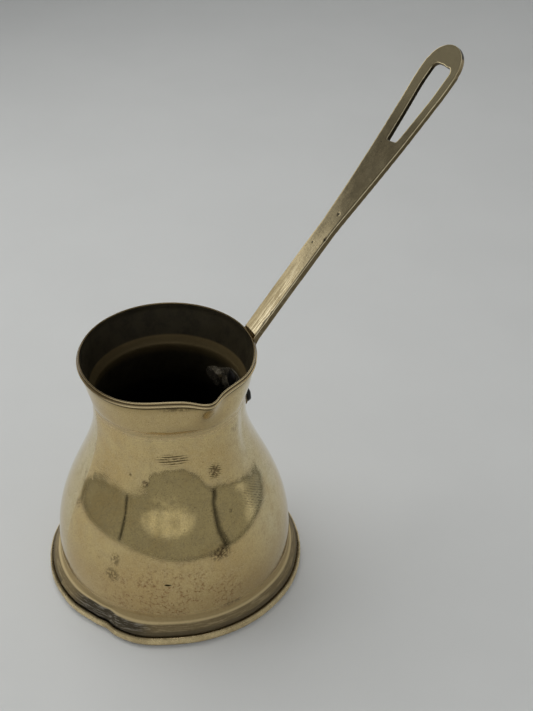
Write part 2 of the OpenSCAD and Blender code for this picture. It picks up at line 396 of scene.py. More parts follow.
def solder_shape(angle, r, z):
    """Lumps where the solder pooled."""
    lump = np.sin(np.radians(angle * 7)) + 0.7 * np.sin(np.radians(angle * 17 + 50))
    lump += 0.5 * np.sin(np.radians(angle * 41 + 20))
    return r - 0.12 * lump * smooth(r, solder_high[0] - 0.3, solder_high[0] - 1.8), z


def make_solder():
    outer, low, leg = solder_high[0], solder_low[2], 2.0
    loop = [(outer, low), (outer, low + leg)]
    loop += arc((outer - leg, low + leg), 1.85, -4.0, -86.0, 8)
    loop += [(outer - leg, low)]
    return lathe("solder_run", loop, 240, solder_shape)


# ------------------------ handle

# Pits in the strap's upper face: place along it and across it, size and depth
PITS = [(56.5, -1.76, 0.34, 0.5), (45.4, -4.1, 0.3, 0.15), (41.6, 0.92, 0.2, 0.08),
        (88.0, 3.0, 0.15, 0.05)]

# Chips in the strap's left edge: place along it, depth and size
CHIPS = [(6.0, 0.22, 1.6), (10.5, 0.12, 0.8), (46.0, 0.12, 0.9)]


def strap_half_width(s):
    """The strap is narrow at first, widens evenly, and ends in a half round."""
    narrow, wide = STRAP_L * 0.38, STRAP_L * 0.86
    grow = np.clip((s - narrow) / (wide - narrow), 0.0, 1.0)
    grow = 0.8 * grow + 0.2 * smooth(grow, 0.0, 1.0)
    sides = STRAP_W / 2 + (TIP_W - STRAP_W) / 2 * grow + 0.4 * bell(s - 120.0, 8.0)
    tip_r = TIP_W / 2
    past = np.clip(s - (STRAP_L - tip_r), 0.0, tip_r)
    return np.where(past > 0.0, np.minimum(sides, np.sqrt(tip_r ** 2 - past ** 2)), sides)


def strap_bow(s):
    """The strap's middle line wanders a little across its own length."""
    return -0.7 * bell(s - 76.0, 30.0) + 0.55 * bell(s - 123.0, 14.0)


def strap_thickness(s):
    palm_part = PALM_T + (STRAP_T - PALM_T) * smooth(s, -14.0, -1.0)
    return np.where(s < 0, palm_part, STRAP_T + (TIP_T - STRAP_T) * s / STRAP_L)


def handle_path():
    """The handle's inner face in the X-Z plane, from the palm's end to the strap's tip.

    Gives points every quarter millimetre and how far along each one is from the strap's start.
    """
    step = 0.25
    slope = math.radians(STRAP_SLOPE)
    heights = np.arange(PALM_LOW_Z, COLLAR_TOP_Z - 1.6, step)
    palm = np.stack([wall_r(heights) + GAP, heights], -1)
    along = np.arange(-2.0, STRAP_L + 1.0, 0.5)[:, None]
    strap = STRAP_START + along * np.array([math.cos(slope), math.sin(slope)])
    line = np.concatenate([palm, strap])
    length = np.concatenate([[0.0], np.cumsum(np.hypot(*np.diff(line, axis=0).T))])
    even = np.arange(0.0, length[-1], step)
    line = np.stack([np.interp(even, length, line[:, k]) for k in (0, 1)], -1)
    reach = 8
    kernel = bell(np.arange(-reach, reach + 1) * step, 0.9)
    padded = np.pad(line, ((reach, reach), (0, 0)), mode="reflect", reflect_type="odd")
    line = np.stack([np.convolve(padded[:, k], kernel / kernel.sum(), mode="valid")
                     for k in (0, 1)], -1)
    root = int(np.argmin(np.hypot(*(line - STRAP_START).T)))
    return line, even - even[root]


def handle_outline():
    """Outline of the straightened handle, from the palm's round end to the strap's round tip."""
    palm_end, palm_r, tip_r = float(handle_path()[1][0]), PALM_W / 2, TIP_W / 2
    palm = np.linspace(palm_end + 0.02, palm_end + palm_r, 12)
    side = [(s, math.sqrt(palm_r ** 2 - (s - palm_end - palm_r) ** 2)) for s in palm]
    shoulder, root = -16.0, -2.0
    for s in np.linspace(shoulder, root, 8):
        side.append((s, palm_r + (STRAP_W - PALM_W) / 2 * float(smooth(s, shoulder, root))))
    tip = STRAP_L - tip_r * (1 - np.sin(np.linspace(0.0, 1.5, 24)))
    for s in np.concatenate([np.arange(2.0, STRAP_L - tip_r, 2.0), tip]):
        side.append((float(s), float(strap_half_width(s))))
    return [(s, w + float(strap_bow(s) * smooth(s, 0.0, 20.0))) for s, w in both_sides(side)]


def slot_outline():
    """The hanging slot: filed by hand, wide near the tip, with a rough cast end."""
    start = SLOT_END - SLOT_L + 0.6
    shoulder = SLOT_END - SLOT_L * 0.3
    tip_half, low_half = SLOT_W_TIP / 2, SLOT_W_LOW / 2
    low_r, tip_r = 0.6, 2.0
    side = [(start + low_r * (1 - math.cos(a)), low_half - low_r + low_r * math.sin(a))
            for a in np.radians(np.linspace(0.0, 90.0, 6))]
    side += [(start + low_r + (shoulder - start - low_r) * t,
              low_half + (tip_half - low_half) * t) for t in np.linspace(0.1, 0.9, 9)]
    side += [(shoulder, tip_half - 0.05), (shoulder + 2.0, tip_half)]
    side += [(SLOT_END - tip_r + tip_r * math.sin(a), tip_half - tip_r + tip_r * math.cos(a))
             for a in np.radians(np.linspace(0.0, 90.0, 8))]
    points = []
    for s, w in both_sides(side):
        low_skew = 1.4 * float(bell(s - start, 2.0)) * (low_half - w) / (2 * low_half)
        tip_skew = 1.4 * float(bell(s - SLOT_END, 2.0)) * max(w / tip_half, 0.0) ** 2
        points.append((s + low_skew - tip_skew, w - SLOT_SHIFT + float(strap_bow(s))))
    return points


def both_sides(side):
    """A closed outline from the points of its one half."""
    return [(s, -w) for s, w in side] + [(s, w) for s, w in reversed(side)]


def handle_wear(points):
    """Thins the straightened strap and gives it casting flaws, filing and knocks."""
    s, w, z = points[:, 0].copy(), points[:, 1].copy(), points[:, 2].copy()
    z *= strap_thickness(s) / STRAP_T
    upper = smooth(z, -0.9, -0.2)
    for at_s, at_w, size, depth in PITS:
        z -= depth * upper * bell(np.hypot(s - at_s, w - at_w), size)
    z += 0.02 * upper * np.sin(s * 0.21 + 1.0) * np.cos(w * 0.4)
    z += 0.01 * upper * np.sin(s * 0.53 + w * 0.7)
    near_edge = smooth(-w, STRAP_W / 2 - 1.0, STRAP_W / 2 - 0.1) * smooth(s, 1.0, 2.0)
    for at_s, depth, size in CHIPS:
        z -= depth * bell(s - at_s, size) * near_edge * upper * smooth(s, 60.0, 40.0)
    across = np.abs(w + 0.4)
    z -= 0.02 * upper * bell(s - SLOT_END - 0.6, 1.6) * smooth(across, 5.2, 3.0)
    s += 0.12 * bell(s - SLOT_END, 1.2) * np.sin(w * 1.3 + 0.8) * smooth(across, 5.0, 3.5)
    return np.stack([s, w, z], -1)


def bend_handle(points):
    """Bends the straightened handle: along the path, and round the neck where the palm lies."""
    path, station = handle_path()
    s, w, depth = points[:, 0], points[:, 1], -points[:, 2]
    at = np.stack([np.interp(s, station, path[:, k]) for k in (0, 1)], -1)
    slopes = np.gradient(path, axis=0)
    slopes /= np.linalg.norm(slopes, axis=1)[:, None]
    slope = np.stack([np.interp(s, station, slopes[:, k]) for k in (0, 1)], -1)
    slope /= np.linalg.norm(slope, axis=1)[:, None]
    outward = np.stack([slope[:, 1], -slope[:, 0]], -1)
    x, z = (at + outward * depth[:, None]).T
    angle = w / at[:, 0]
    wrap = smooth(s, -1.0, -7.0)
    return np.stack([x * (1 - wrap) + x * np.cos(angle) * wrap,
                     w * (1 - wrap) + x * np.sin(angle) * wrap, z], -1)


def shaped_mesh(obj):
    """The mesh of an object after its modifiers. The object itself is removed."""
    bpy.context.view_layer.update()
    shaped = obj.evaluated_get(bpy.context.evaluated_depsgraph_get())
    mesh = bpy.data.meshes.new_from_object(shaped)
    bpy.data.objects.remove(obj)
    return mesh


def handle_blank():
    """The straightened handle as an even mesh with softened edges."""
    curve = bpy.data.curves.new("strap_handle_outline", "CURVE")
    curve.dimensions = "2D"
    curve.fill_mode = "BOTH"
    curve.extrude = STRAP_T / 2
    for points in (handle_outline(), slot_outline()):
        spline = curve.splines.new("POLY")
        spline.points.add(len(points) - 1)
        for target, (x, y) in zip(spline.points, points):
            target.co = (x, y, 0.0, 1.0)
        spline.use_cyclic_u = True
    blank = add_object("strap_handle", shaped_mesh(add_object("strap_handle", curve)))
    remesh = blank.modifiers.new("remesh", "REMESH")
    remesh.mode = "VOXEL"
    remesh.voxel_size = 0.3
    soften = blank.modifiers.new("soften", "SMOOTH")
    soften.factor = 0.5
    soften.iterations = 5
    return shaped_mesh(blank)


def make_handle():
    mesh = handle_blank()
    mesh.name = "strap_handle"
    points = np.zeros(len(mesh.vertices) * 3)
    mesh.vertices.foreach_get("co", points)
    points = points.reshape(-1, 3) - (0.0, 0.0, STRAP_T / 2)
    points = bend_handle(handle_wear(points)) * MM
    mesh.vertices.foreach_set("co", points.ravel())
    return add_smooth("strap_handle", mesh)


# ------------------------ rivets and inner plate

def hammered_dome(seed, height, rings=14):
    """Rings of (out, across, up) points of a rivet's head, with flats and an uneven edge."""
    draw = np.random.default_rng(seed)
    flats = [(draw.uniform(0, 360), draw.uniform(0.15, 0.9), draw.uniform(0.55, 0.95))
             for _ in range(9)]
    dome = []
    for t in np.linspace(0.0, math.pi / 2, rings + 1):
        for a in np.linspace(0.0, 2 * math.pi, HEAD_STEPS, endpoint=False):
            edge = 1 + 0.07 * math.sin(2 * a + seed) + 0.05 * math.sin(5 * a + 2 * seed)
            r = HEAD_R * edge * math.sin(t)
            h = height * max(math.cos(t), 0.0) ** 0.8
            for flat_a, lean, cut in flats:
                way = math.cos(a - math.radians(flat_a))
                over = h * (1 - lean) / height + r * way * lean / HEAD_R - cut
                if over > 0:
                    h -= over * height * 0.7 * (1 - lean)
                    r -= over * HEAD_R * 0.7 * lean * max(way, 0.0)
            dome.append((max(h, 0.02), r * math.cos(a), r * math.sin(a)))
    return np.array(dome).reshape(rings + 1, HEAD_STEPS, 3)


def shank_ring(x):
    around = np.linspace(0.0, 2 * math.pi, HEAD_STEPS, endpoint=False)
    return np.stack([np.full(HEAD_STEPS, x), SHANK_R * np.cos(around), SHANK_R * np.sin(around)], -1)


def make_rivet(name, z, seed):
    """One iron rivet: outer hammered head, shank and flatter peened end inside."""
    outer = float(wall_r(z)) + GAP + PALM_T + 0.4
    inner = float(wall_r(z)) - WALL - GAP - PLATE_T - 0.3
    mesh = bmesh.new()
    for outward, base, height, its_seed in ((1, outer, HEAD_H, seed),
                                            (-1, inner, INNER_HEAD_H, seed + 5)):
        head = hammered_dome(its_seed, height) * (outward, 1, 1) + (base, 0, 0)
        shank = [shank_ring(base), shank_ring((outer + inner) / 2)]
        rows = [[mesh.verts.new(point) for point in row] for row in [*head, *shank]]
        for low, high in zip(rows, rows[1:]):
            for j in range(len(low)):
                mesh.faces.new([low[j - 1], low[j], high[j], high[j - 1]][::outward])
    bmesh.ops.remove_doubles(mesh, verts=mesh.verts, dist=1e-4)
    bmesh.ops.recalc_face_normals(mesh, faces=mesh.faces)
    for vert in mesh.verts:
        vert.co = (vert.co + Vector((0.0, 0.0, z))) * MM
    data = bpy.data.meshes.new(name)
    mesh.to_mesh(data)
    mesh.free()
    return add_smooth(name, data)


def plate_outline(u, v, half_width):
    """Distance round the neck and height of the plate's points, from -1 to 1 across it."""
    x, y = u * half_width, v * PLATE_H / 2
    corner = PLATE_H / 2
    over = np.clip(np.abs(x) - (half_width - corner), 0.0, corner)
    y = y * np.maximum(np.sqrt(corner ** 2 - over ** 2) / corner, 0.06)
    return x, np.where(y > 0, y * (1 - 0.55 * smooth(u, 0.1, 0.7)), y)


def plate_lumps(x, y, half_width):
    """Flats left by the hammer, each one tilted its own way."""
    draw = np.random.default_rng(SEED + 3)
    flats = [(draw.uniform(-0.9, 0.9) * half_width, draw.uniform(-6.0, 6.0),
              draw.normal(0.0, 0.42), draw.normal(0.0, 0.42)) for _ in range(22)]
    lumps = np.max([0.5 + tilt_x * (x - at_x) + tilt_y * (y - at_y)
                    - 0.10 * ((x - at_x) ** 2 + (y - at_y) ** 2)
                    for at_x, at_y, tilt_x, tilt_y in flats], 0)
    return np.clip(lumps, 0.0, 1.4)


def make_inner_plate():
    """Hammered plate inside the neck that spreads the pull of the rivets."""
    across, up = 96, 44
    back_r = WAIST_R - WALL
    half_width = math.radians(PLATE_HALF_ANGLE) * back_r
    u, v = np.meshgrid(np.linspace(-1.0, 1.0, across), np.linspace(-1.0, 1.0, up))
    x, y = plate_outline(u, v, half_width)
    edge = np.minimum(1.0, 2.5 * np.minimum(1 - np.abs(u), 1 - np.abs(v)))
    thick = (PLATE_T + 0.1) * (0.35 + 0.65 * edge) + 1.1 * edge * plate_lumps(x, y, half_width)
    z = y + sum(RIVET_HEIGHTS.values()) / 2
    points = []
    for depth in (thick, 0.0):
        r = wall_r(z) - WALL - GAP - depth
        points.append(np.stack([r * np.cos(x / back_r), r * np.sin(x / back_r), z], -1))
    points = np.concatenate(points).reshape(-1, 3)
    count = across * up
    index = np.arange(count).reshape(up, across)
    front = np.stack([index[:-1, :-1], index[1:, :-1], index[1:, 1:], index[:-1, 1:]], -1)
    front = front.reshape(-1, 4)
    faces = front.tolist() + (front[:, [0, 3, 2, 1]] + count).tolist()
    border = [*index[0], *index[1:, -1], *index[-1, -2::-1], *index[-2:0:-1, 0]]
    for a, b in zip(border, border[1:] + border[:1]):
        faces.append([int(a), int(b), int(b) + count, int(a) + count])
    return make_mesh("inner_plate", points, faces)


# ------------------------ material tools

class Nodes:
    """Short calls for the procedural nodes of one node tree."""

    def __init__(self, tree):
        self.tree = tree

    def node(self, kind, inputs=None, **settings):
        made = self.tree.nodes.new("ShaderNode" + kind)
        for name, value in settings.items():
            setattr(made, name, value)
        for key, value in (inputs or {}).items():
            if isinstance(value, bpy.types.NodeSocket):
                self.tree.links.new(value, made.inputs[key])
            else:
                made.inputs[key].default_value = value
        return made

    def math(self, operation, a, b=0.0):
        return self.node("Math", {0: a, 1: b}, operation=operation).outputs[0]

    def plus(self, a, b):
        return self.math("ADD", a, b)

    def minus(self, a, b):
        return self.math("SUBTRACT", a, b)

    def times(self, a, b):
        return self.math("MULTIPLY", a, b)

    def away(self, value, middle):
        """Distance of a value from a middle."""
        return self.math("ABSOLUTE", self.minus(value, middle))

    def step(self, value, low, high, start=0.0, end=1.0):
        """A smooth change from start to end while value goes from low to high."""
        return self.node("MapRange", {"Value": value, "From Min": low, "From Max": high,
                                      "To Min": start, "To Max": end},
                         interpolation_type="SMOOTHSTEP").outputs[0]

    def band(self, value, middle, half):
        """1 at the middle of a band and 0 at its edges."""
        return self.step(self.away(value, middle), half, 0.0)


class Surface(Nodes):
    """A principled material that is built up in layers. Its coordinates are in millimetres."""

    def __init__(self, name, colour=None, **values):
        self.material = bpy.data.materials.new(name)
        self.material.use_nodes = True
        super().__init__(self.material.node_tree)
        self.shader = self.tree.nodes["Principled BSDF"]
        for socket, value in values.items():
            self.shader.inputs[socket.replace("_", " ")].default_value = value
        metres = self.node("TexCoord").outputs["Object"]
        self.place = self.node("VectorMath", {0: metres, "Scale": 1 / MM},
                               operation="SCALE").outputs[0]
        self.x, self.y, self.z = self.node("SeparateXYZ", {0: self.place}).outputs[:3]
        self.angle = self.times(self.math("ARCTAN2", self.y, self.x), 180 / math.pi)
        self.colour = colour
        self.rough = None

    def noise(self, size, detail=4.0, rough=0.6, place=None):
        """Noise whose features are about size millimetres across."""
        return self.node("TexNoise", {"Vector": place or self.place, "Scale": 1 / size,
                                      "Detail": detail, "Roughness": rough}).outputs[0]

    def stretched(self, x, y, z):
        """Coordinates scaled along each axis, for streaks and lines."""
        return self.node("Mapping", {"Vector": self.place, "Scale": (x, y, z)}).outputs[0]

    def radius(self):
        """Distance from the pot's axis."""
        flat = self.node("CombineXYZ", {0: self.x, 1: self.y}).outputs[0]
        return self.node("VectorMath", {0: flat}, operation="LENGTH").outputs["Value"]

    def ringed(self, along):
        """Coordinates that run round the pot, for turned lines: radius, angle and height."""
        around = self.times(self.angle, along)
        return self.node("CombineXYZ", {0: self.radius(), 1: around, 2: self.z}).outputs[0]

    def spot(self, angle, height, wide, tall):
        """1 at a place on the pot's wall and 0 at its edge."""
        r, turned = float(wall_r(height)), math.radians(angle)
        x, y = self.minus(self.x, r * math.cos(turned)), self.minus(self.y, r * math.sin(turned))
        z = self.minus(self.z, height)
        flat = self.times(self.plus(self.times(x, x), self.times(y, y)), 1 / wide ** 2)
        return self.step(self.plus(flat, self.times(self.times(z, z), 1 / tall ** 2)), 1.0, 0.0)

    def mix(self, factor, a, b):
        made = self.node("Mix", data_type="RGBA")
        for index, value in ((0, factor), (6, a), (7, b)):
            if isinstance(value, bpy.types.NodeSocket):
                self.tree.links.new(value, made.inputs[index])
            else:
                made.inputs[index].default_value = value if index == 0 else (*value, 1.0)
        return made.outputs[2]

    def coat(self, amount, colour, strength=1.0):
        """Lays a colour over what is there, as far as amount says."""
        self.colour = self.mix(self.times(amount, strength), self.colour, colour)

    def roughen(self, amount, strength):
        self.rough = self.plus(self.rough, self.times(amount, strength))

    def finish(self, height, distance):
        """Links the layers to the shader. The bump's distance is in millimetres."""
        links, inputs = self.tree.links, self.shader.inputs
        links.new(self.colour, inputs["Base Color"])
        links.new(self.rough, inputs["Roughness"])
        bump = self.node("Bump", {"Height": height, "Distance": distance * MM, "Strength": 1.0})
        links.new(bump.outputs[0], inputs["Normal"])
        return self.material


CLEAN_BRASS = (0.70, 0.545, 0.265)
WARM_BRASS = (0.62, 0.455, 0.205)
PALE_BRASS = (0.75, 0.65, 0.41)
DULL_BRASS = (0.60, 0.47, 0.25)
PATINA = (0.17, 0.12, 0.06)
# Brown for real stains in the pits, and for painted shade along the crease.
BROWN_STAIN_AND_SHADE = (0.20, 0.12, 0.05)
DARK_STAIN = (0.12, 0.08, 0.04)
# Black for real grime in the nick and the pits, and for painted shade under the hem and in the foot's
# grooves.
GRIME_AND_SHADE_BLACK = (0.03, 0.022, 0.012)

# Stains on the wall: angle, height, width, height of the stain and its strength
STAINS = [
    (-112.0, 78.0, 5.0, 1.6, 0.4), (-83.0, 70.0, 3.4, 4.0, 0.9), (-89.5, 38.3, 5.6, 3.4, 1.0),
    (-88.0, 41.0, 2.0, 1.6, 0.5), (-144.0, 36.0, 2.6, 4.0, 0.8), (-145.0, 29.0, 4.0, 4.5, 0.7),
    (-131.0, 68.0, 2.0, 1.8, 1.0), (-178.0, 47.5, 2.5, 4.0, 0.6), (-78.0, 52.5, 1.0, 1.0, 0.8),
    (-60.0, 84.0, 4.0, 2.5, 0.4), (-86.0, 12.6, 6.0, 1.6, 0.8), (-82.0, 13.2, 1.0, 2.2, 1.0),
    (-142.0, 71.0, 0.9, 0.8, 1.0),
]

# Scored lines on the wall: angle, height, width and height of the patch, distance between two
# lines, their rise in mm for each degree round the pot, and strength
STROKES = [(-112.0, 78.0, 7.6, 3.4, 1.1, -0.02, 1.6), (-83.0, 70.0, 4.4, 5.0, 0.9, 0.3, 1.3),
           (-88.0, 39.5, 4.0, 3.2, 0.9, -0.3, 1.2), (-58.0, 52.0, 9.0, 9.0, 1.2, 0.5, 0.45)]


# ------------------------ the sheet's brass

def sheet_tones(s):
    """Blotches of warmer, paler and duller brass, with a browner collar and lower belly."""
    s.coat(s.step(s.noise(22.0), 0.42, 0.68), WARM_BRASS)
    pale = s.step(s.noise(16.0), 0.3, 0.6, 0.5, 1.0)
    s.coat(s.times(s.step(s.angle, -75.0, -50.0), pale), PALE_BRASS)
    s.coat(s.step(s.noise(5.0, 8.0, 0.75), 0.42, 0.68), DULL_BRASS, 0.75)
    grain = s.step(s.noise(1.4, 6.0, 0.8), 0.46, 0.66)
    s.coat(grain, (0.44, 0.34, 0.18), 0.35)
    s.roughen(grain, 0.04)
    collar = s.step(s.z, CREASE_Z - 2.0, CREASE_Z + 1.0)
    s.coat(s.times(collar, s.step(s.angle, -66.0, -82.0)), (0.46, 0.34, 0.16), 0.45)
    low = s.step(s.z, 46.0, 14.0)
    s.coat(low, (0.48, 0.34, 0.16), 0.5)
    s.roughen(low, 0.05)


def sheet_specks(s):
    """Worn patch on the front, dust, pits and fine specks. Gives the pits, which are hollow."""
    speckle = s.step(s.noise(1.3, 6.0, 0.75), 0.47, 0.6)
    patch = s.step(s.noise(5.0, 5.0, 0.7), 0.38, 0.56)
    worn = s.times(s.times(speckle, patch), s.spot(-114.0, 20.0, 40.0, 22.0))
    s.coat(worn, (0.34, 0.20, 0.085))
    s.roughen(worn, 0.25)
    dust = s.step(s.noise(0.5, 3.0, 0.6), 0.58, 0.68)
    dust_patch = s.step(s.noise(4.0), 0.36, 0.6)
    s.coat(s.times(dust, dust_patch), (0.26, 0.17, 0.08), 0.65)
    pits = s.step(s.noise(0.8, 2.0, 0.5), 0.71, 0.76)
    s.coat(pits, BROWN_STAIN_AND_SHADE, 0.75)
    specks = s.noise(0.45, 4.0, 0.8)
    s.coat(s.step(specks, 0.52, 0.64), (0.36, 0.27, 0.13), 0.55)
    s.coat(s.step(specks, 0.46, 0.34), (0.90, 0.76, 0.48), 0.35)
    return pits


def sheet_marks(s, ragged):
    """The dented nick, the dark stains and the scored lines at their places."""
    s.coat(s.spot(-117.0, 28.4, 1.7, 0.5), GRIME_AND_SHADE_BLACK, 1.4)
    for at, height, wide, tall, strength in STAINS:
        s.coat(s.times(s.spot(at, height, wide, tall), ragged), DARK_STAIN, strength)
    broken = s.step(s.noise(1.6, 3.0, 0.6, place=s.stretched(0.5, 0.5, 2.0)), 0.42, 0.56)
    for at, height, wide, tall, pitch, rise, strength in STROKES:
        line = s.plus(s.z, s.times(s.minus(s.angle, at), rise))
        wave = s.math("SINE", s.times(line, 2 * math.pi / pitch))
        patch = s.times(s.spot(at, height, wide, tall), broken)
        s.coat(s.times(patch, s.step(wave, -0.1, 0.5)), (0.12, 0.085, 0.04), strength)


def sheet_foot(s):
    """Turned lines, the paler tuck, the tarnished flare, the foot's rubbed patina, a painted highlight
    on the ledge and painted shade under the flange.
    """
    lines = s.noise(0.7, 3.0, 0.6, place=s.ringed(0.05))
    s.coat(s.times(s.step(s.z, 17.0, 12.5), s.step(lines, 0.45, 0.6)), PATINA, 0.2)
    s.coat(s.band(s.z, FOOT_CREASE_Z + 0.9, 2.2), (0.75, 0.62, 0.38), 0.2)
    flare_part = s.step(s.z, FOOT_CREASE_Z + 2.0, FOOT_CREASE_Z - 1.0)
    s.coat(flare_part, (0.40, 0.30, 0.14), 0.9)
    s.roughen(flare_part, 0.2)
    foot = s.step(s.z, LEDGE_Z + 0.2, LEDGE_Z - 0.3)
    rub = s.step(s.noise(0.55, 4.0, 0.7, place=s.ringed(0.06)), 0.49, 0.60)
    black = s.times(s.step(s.angle, -172.0, -160.0), s.step(s.angle, -122.0, -132.0))
    patina = s.mix(black, (0.20, 0.15, 0.075), (0.03, 0.026, 0.02))
    rubbed = s.mix(black, (0.42, 0.34, 0.19), (0.40, 0.37, 0.31))
    s.coat(foot, s.mix(s.times(rub, 0.6), patina, rubbed), 0.9)
    s.roughen(foot, 0.12)
    hollow = s.times(s.step(s.z, 7.2, 6.4), s.step(s.angle, -150.0, -120.0))
    s.coat(hollow, (0.11, 0.085, 0.045), 0.8)
    # Painted highlight: a pale line along the ledge's edge.
    s.coat(s.band(s.z, LEDGE_Z + 0.1, 0.5), (0.66, 0.54, 0.30), 0.8)
    # Painted shade in the groove under the flange's rim.
    painted_groove_shade = s.mix(s.step(s.angle, -140.0, -120.0), GRIME_AND_SHADE_BLACK, (0.16, 0.12, 0.06))
    s.coat(s.step(s.z, FLANGE_UNDER_Z + 0.45, FLANGE_UNDER_Z + 0.25), painted_groove_shade)
    return foot


def sheet_rim(s, ragged):
    """Darker towards the hem, a painted shadow line under it, painted highlight and shade on the hem,
    its seam, and painted shade at the crease.
    """
    # Darker towards the hem.
    s.coat(s.step(s.z, COLLAR_TOP_Z - 4.0, COLLAR_TOP_Z), (0.36, 0.27, 0.12), 0.6)
    # Painted shadow: a dark line just under the hem.
    s.coat(s.band(s.z, COLLAR_TOP_Z - 0.3, 0.75), GRIME_AND_SHADE_BLACK, 0.9)
    smudge = s.times(s.spot(-108.0, COLLAR_TOP_Z - 0.5, 9.0, 2.2), ragged)
    s.coat(smudge, (0.10, 0.07, 0.035), 0.8)
    # Painted highlight and shade: the hem is bright on the front and dark at the back.
    hem = s.step(s.z, COLLAR_TOP_Z + 0.2, COLLAR_TOP_Z + 0.5)
    front = s.step(s.y, -10.0, -24.0)
    s.coat(hem, s.mix(front, (0.30, 0.22, 0.11), (0.74, 0.59, 0.34)), 0.9)
    s.roughen(hem, 0.05)
    seam = s.step(s.away(s.z, POT_H - 0.75), 0.35, 0.15)
    s.coat(seam, (0.08, 0.05, 0.02), 0.95)
    # Painted shade: a faint brown line along the crease.
    s.coat(s.band(s.z, CREASE_Z, 0.9), BROWN_STAIN_AND_SHADE, 0.1)
    s.roughen(s.band(s.z, CREASE_Z, 3.5), 0.3)


def polished_brass():
    """The outside of the sheet: worn and polished, and dull at the foot and at the crease."""
    s = Surface("sheet_brass_polished", CLEAN_BRASS, Metallic=1.0)
    s.rough = s.step(s.noise(9.0, 5.0, 0.65), 0.35, 0.75, 0.03, 0.065)
    s.roughen(s.step(s.z, 16.0, 12.0), 0.22)
    ragged = s.step(s.noise(1.0, 5.0, 0.7), 0.4, 0.56)
    sheet_tones(s)
    pits = sheet_specks(s)
    sheet_marks(s, ragged)
    foot = sheet_foot(s)
    sheet_rim(s, ragged)
    low_band = s.step(s.z, FOOT_CREASE_Z + 1.5, FOOT_CREASE_Z - 0.5)
    tarnish = s.plus(s.times(low_band, 0.5), s.times(s.band(s.z, CREASE_Z, 3.0), 0.45))
    s.tree.links.new(s.minus(1.0, tarnish), s.shader.inputs["Metallic"])
    fine = s.noise(0.9, 6.0, 0.8, place=s.stretched(1.0, 1.0, 1.6))
    height = s.minus(fine, s.times(pits, 1.5))
    height = s.plus(height, s.times(s.times(foot, 4.0), s.noise(1.6, 4.0, 0.65)))
    return s.finish(height, 0.011)


def tarnished_inside():
    """Dark all over, with painted light as a lit ring at the crease, and black in the depth that is
    partly stain and partly painted shade.
    """
    s = Surface("sheet_brass_inside", (0.058, 0.048, 0.027), Metallic=0.6)
    s.coat(s.step(s.noise(6.0, 5.0, 0.65), 0.4, 0.7), (0.032, 0.026, 0.015))
    # Painted light: a lit band round the inside at and just under the crease.
    rise = s.math("POWER", s.step(s.z, CREASE_Z - 4.0, CREASE_Z + 5.0), 1.6)
    ring = s.times(s.step(s.z, CREASE_Z + 4.4, CREASE_Z + 3.4), rise)
    s.coat(ring, (0.24, 0.175, 0.075), 0.85)
    under = s.times(s.step(s.z, CREASE_Z + 4.0, CREASE_Z - 1.0),
                    s.step(s.z, CREASE_Z - 5.0, CREASE_Z - 1.0))
    s.coat(under, (0.26, 0.19, 0.08), 0.45)
    # Black in the depth: partly dark stain and partly painted shade.
    s.coat(s.step(s.z, 76.0, 66.0), (0.004, 0.003, 0.002), 0.8)
    s.rough = s.step(s.noise(3.0), 0.3, 0.7, 0.38, 0.55)
    return s.finish(s.noise(1.2), 0.03)


# ------------------------ the other materials

def tray_brass():
    """Beaten brass with painted shade in its groove and low down by the floor, and black on the floor
    inside the pot, partly stain and partly painted shade.
    """
    s = Surface("base_brass_beaten", (0.78, 0.63, 0.36), Metallic=1.0)
    s.coat(s.step(s.noise(5.0, 5.0, 0.65), 0.4, 0.65), (0.30, 0.22, 0.11), 0.45)
    # Painted shade in the groove under the flange.
    s.coat(s.band(s.z, FLANGE_UNDER_Z, 0.5), GRIME_AND_SHADE_BLACK, 0.9)
    # Painted shade low down, where the tray meets the floor.
    s.coat(s.step(s.z, 1.7, 0.9), (0.12, 0.085, 0.04), 0.9)
    # The floor inside the pot is near black: partly stain and partly painted shade.
    inside = s.times(s.step(s.radius(), FLANGE_R - 0.3, FLANGE_R - 0.7), s.step(s.z, 0.85, 0.95))
    s.coat(inside, (0.006, 0.005, 0.003))
    s.rough = s.step(s.noise(2.5), 0.3, 0.7, 0.2, 0.42)
    s.roughen(inside, 0.4)
    return s.finish(s.noise(1.5), 0.025)


def strap_tones(s, station):
    """Stains and grain, a painted highlight on the tip and painted shade on the middle."""
    s.coat(s.step(s.noise(11.0, 5.0, 0.65), 0.38, 0.68), (0.56, 0.455, 0.26))
    s.coat(s.step(s.noise(2.2, 5.0, 0.7), 0.55, 0.74), (0.18, 0.12, 0.06), 0.5)
    strap_pits(s, station)
    grain = s.noise(0.8, 5.0, 0.75)
    s.coat(s.step(grain, 0.5, 0.66), (0.26, 0.20, 0.11), 0.5)
    s.coat(s.step(grain, 0.46, 0.34), (0.88, 0.76, 0.50), 0.3)
    # Painted highlight on the tip and painted shade on the middle of the strap.
    s.coat(s.step(station, 92.0, 112.0), (0.92, 0.78, 0.46), 0.55)
    painted_shade_middle = s.times(s.step(station, 40.0, 55.0), s.step(station, 115.0, 95.0))
    s.coat(painted_shade_middle, (0.36, 0.30, 0.18), 0.4)


def strap_pits(s, station):
    """Black grime in each pit of the strap's face."""
    for at_s, at_w, size, _ in PITS:
        along, across = s.minus(station, at_s), s.minus(s.y, at_w)
        away = s.math("SQRT", s.plus(s.times(along, along), s.times(across, across)))
        s.coat(s.step(away, size * 2.3, size * 1.5), GRIME_AND_SHADE_BLACK)


